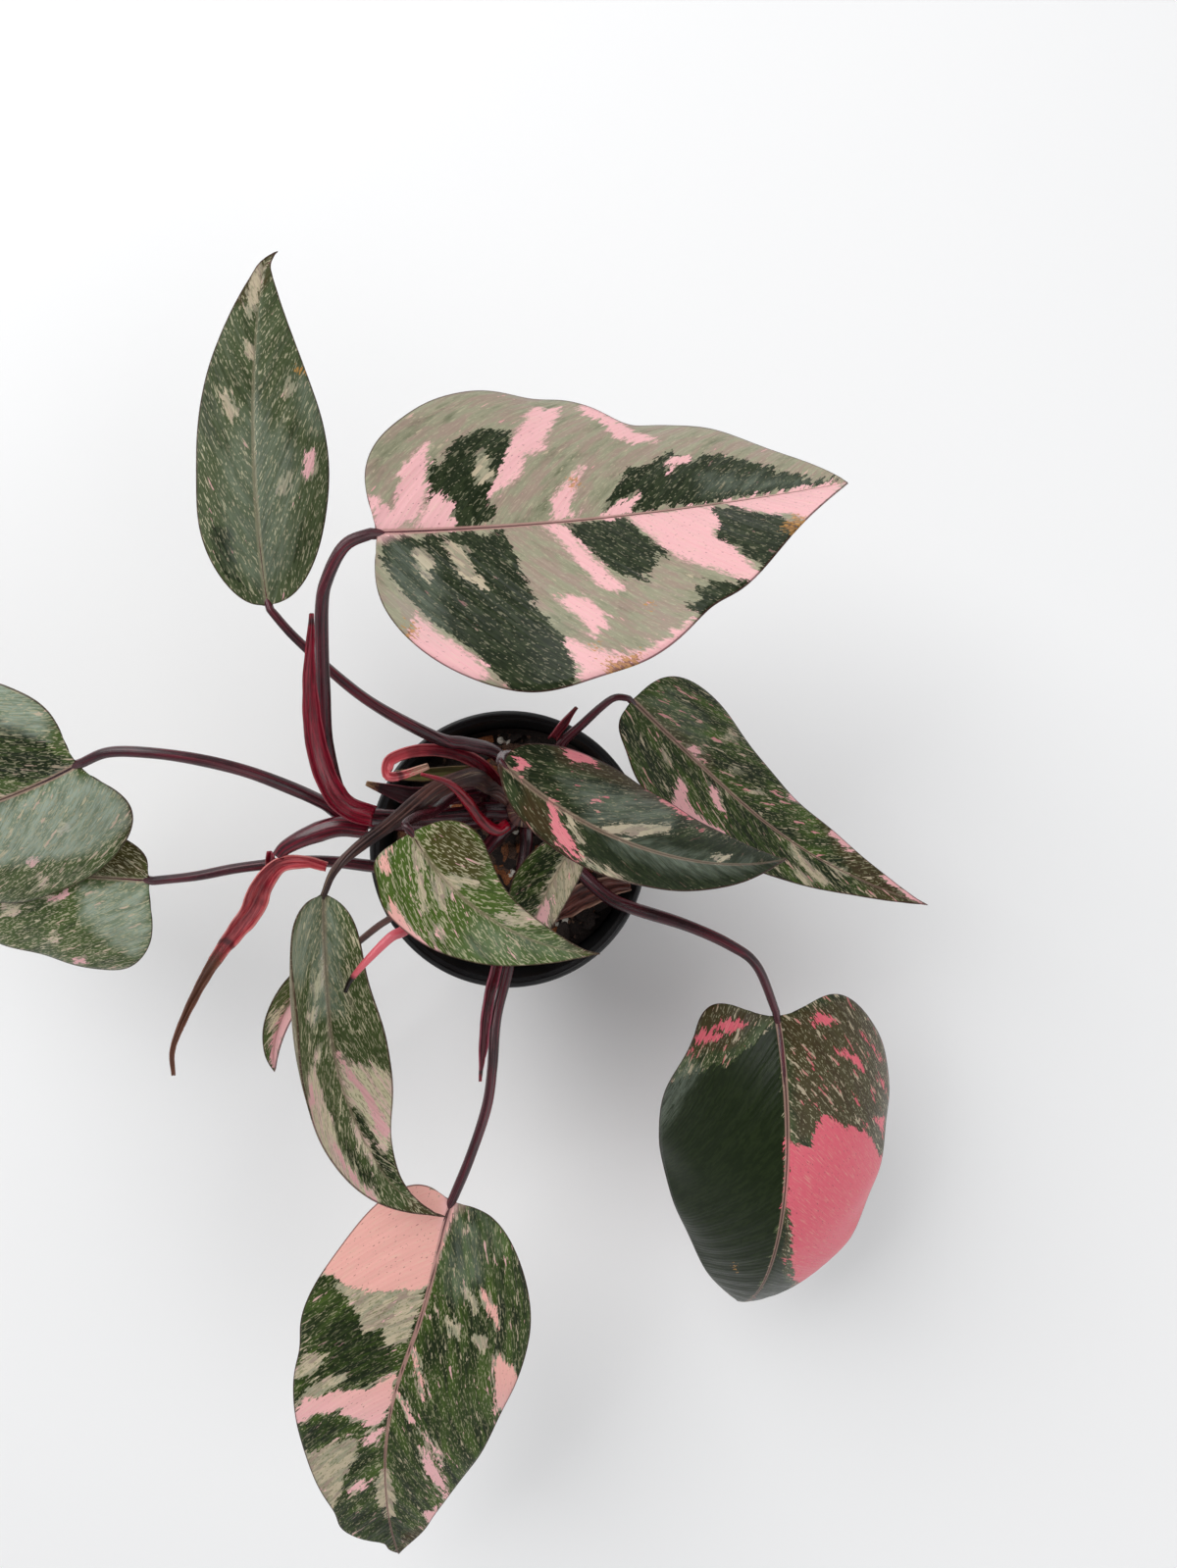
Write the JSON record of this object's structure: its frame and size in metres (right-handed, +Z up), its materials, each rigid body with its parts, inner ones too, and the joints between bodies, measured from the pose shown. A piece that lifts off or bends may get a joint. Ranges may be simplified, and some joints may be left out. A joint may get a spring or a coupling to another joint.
{
  "type": "potted philodendron",
  "caption": "Pink variegated philodendron with long-stalked leaves spreading from one short stem in a round plastic nursery pot filled with bark mix.",
  "frame": {"origin": "centre of the pot's base, on the surface it stands on", "axes": "+Z up along the pot's axis; +Y towards the top edge of the picture and +X towards its right edge, seen from above"},
  "size_m": [0.4228, 0.483, 0.2045],
  "materials": {
    "pot": "matte moulded plastic",
    "soil": "rough bark mix",
    "stem": "ridged, dull",
    "blade": "glossy, variegated green and pink",
    "stalk": "smooth, half glossy",
    "crimson_sheath": "glossy",
    "green_sheath": "half glossy",
    "dry_sheath": "dry and wrinkled"
  },
  "bodies": {
    "root": {"pot": "pot", "soil": "soil", "stem": "stem", "leaf_01": "blade", "leaf_02": "blade", "leaf_03": "blade", "leaf_04": "blade", "leaf_05": "blade", "leaf_06": "blade", "leaf_07": "blade", "leaf_08": "blade", "leaf_09": "blade", "leaf_10": "blade", "leaf_11": "blade", "leaf_12": "blade", "petiole_01": "stalk", "petiole_02": "stalk", "petiole_03": "stalk", "petiole_04": "stalk", "petiole_05": "stalk", "petiole_06": "stalk", "petiole_07": "stalk", "petiole_08": "stalk", "petiole_09": "stalk", "petiole_10": "stalk", "petiole_11": "stalk", "petiole_12": "stalk", "tall_sheath": "crimson_sheath", "front_sheath": "crimson_sheath", "curled_sheath": "crimson_sheath", "east_sheath": "crimson_sheath", "red_spike": "crimson_sheath", "red_tongue": "crimson_sheath", "flap_sheath": "stalk", "side_branch": "stalk", "green_stub": "green_sheath", "withered_sheath": "dry_sheath", "paper_sheath": "dry_sheath"}
  },
  "joints": []
}
